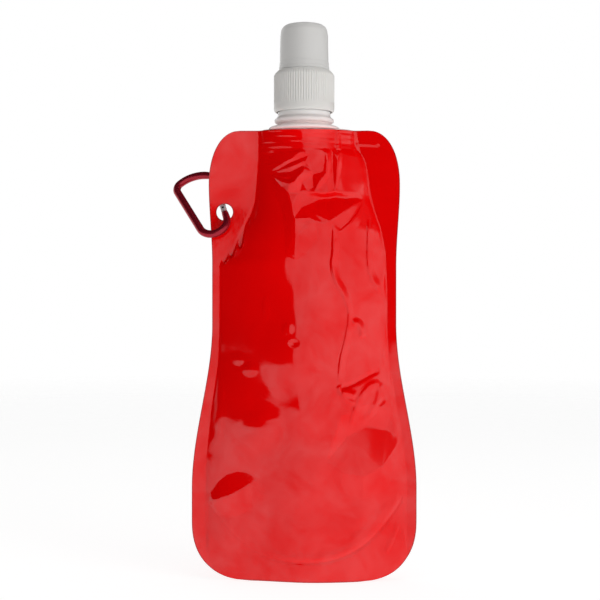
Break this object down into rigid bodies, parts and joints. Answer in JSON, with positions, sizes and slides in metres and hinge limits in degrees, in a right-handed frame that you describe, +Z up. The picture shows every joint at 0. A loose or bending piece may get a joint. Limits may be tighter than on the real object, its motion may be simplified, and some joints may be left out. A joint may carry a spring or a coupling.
{
  "type": "folding water bottle",
  "caption": "Flat flexible drinking pouch with a gusseted base, welded spout, ribbed screw cap with push-pull nozzle and dust cover, and a small carabiner through its corner hole.",
  "frame": {"origin": "centre of the footprint of the whole object, on the surface the bag stands on; the bottle's own axis is 5.2 mm towards +X of it, because the carabiner hangs out towards -X", "axes": "+Z up, +Y towards the back of the bag, +X to the right as seen from the front"},
  "size_m": [0.1234, 0.0361, 0.2797],
  "materials": {
    "film_red": "glossy laminated film",
    "spout_white": "satin, slightly milky",
    "cap_white": "satin",
    "liner": "soft foam",
    "cover_frosted": "frosted, translucent",
    "anodised_red": "anodised, polished",
    "gate_metal": "polished",
    "steel": "bright drawn"
  },
  "bodies": {
    "bag_upper": {"front_film_upper": "film_red", "rear_film_upper": "film_red", "spout": "spout_white"},
    "bag_lower": {"front_film_lower": "film_red", "rear_film_lower": "film_red", "bottom_gusset": "film_red"},
    "liner": {"cap_liner": "liner"},
    "cap": {"screw_cap": "cap_white"},
    "nozzle": {"pull_nozzle": "cap_white"},
    "cover": {"dust_cover": "cover_frosted"},
    "carabiner": {"carabiner_body": "anodised_red", "gate_pivot_pin": "steel"},
    "gate": {"carabiner_gate": "gate_metal", "gate_latch_pin": "steel", "gate_spring": "steel", "gate_plunger": "steel"}
  },
  "joints": [
    {"name": "fold", "type": "hinge", "parent": "bag_upper", "child": "bag_lower", "pos_m": [0.0052, -0.0182, 0.112], "axis": [-1, 0, 0], "range_deg": [0, 176]},
    {"name": "cap_unscrew", "type": "slide", "parent": "bag_upper", "child": "liner", "axis": [0, 0, 1], "range_m": [0, 0.02226]},
    {"name": "cap_turn", "type": "hinge", "parent": "liner", "child": "cap", "pos_m": [0.0052, 0, 0.2505], "axis": [0, 0, 1], "range_deg": [0, 2525]},
    {"name": "nozzle_pull", "type": "slide", "parent": "cap", "child": "nozzle", "axis": [0, 0, 1], "range_m": [0, 0.004]},
    {"name": "dust_cover_lift", "type": "slide", "parent": "cap", "child": "cover", "axis": [0, 0, 1], "range_m": [0, 0.03]},
    {"name": "carabiner_swing", "type": "hinge", "parent": "bag_upper", "child": "carabiner", "pos_m": [-0.0348, 0, 0.1845], "axis": [0, -1, 0], "range_deg": [-60, 28]},
    {"name": "gate_open", "type": "hinge", "parent": "carabiner", "child": "gate", "pos_m": [-0.03536, 0.00115, 0.18604], "axis": [-0.1962, -0.8192, 0.539], "range_deg": [0, 27], "stiffness_Nm_per_rad": 0.01, "springref_deg": -20.05}
  ],
  "couplings": [
    {"joint": "cap_turn", "follows": "cap_unscrew", "rad_per_m": 1975.8}
  ]
}
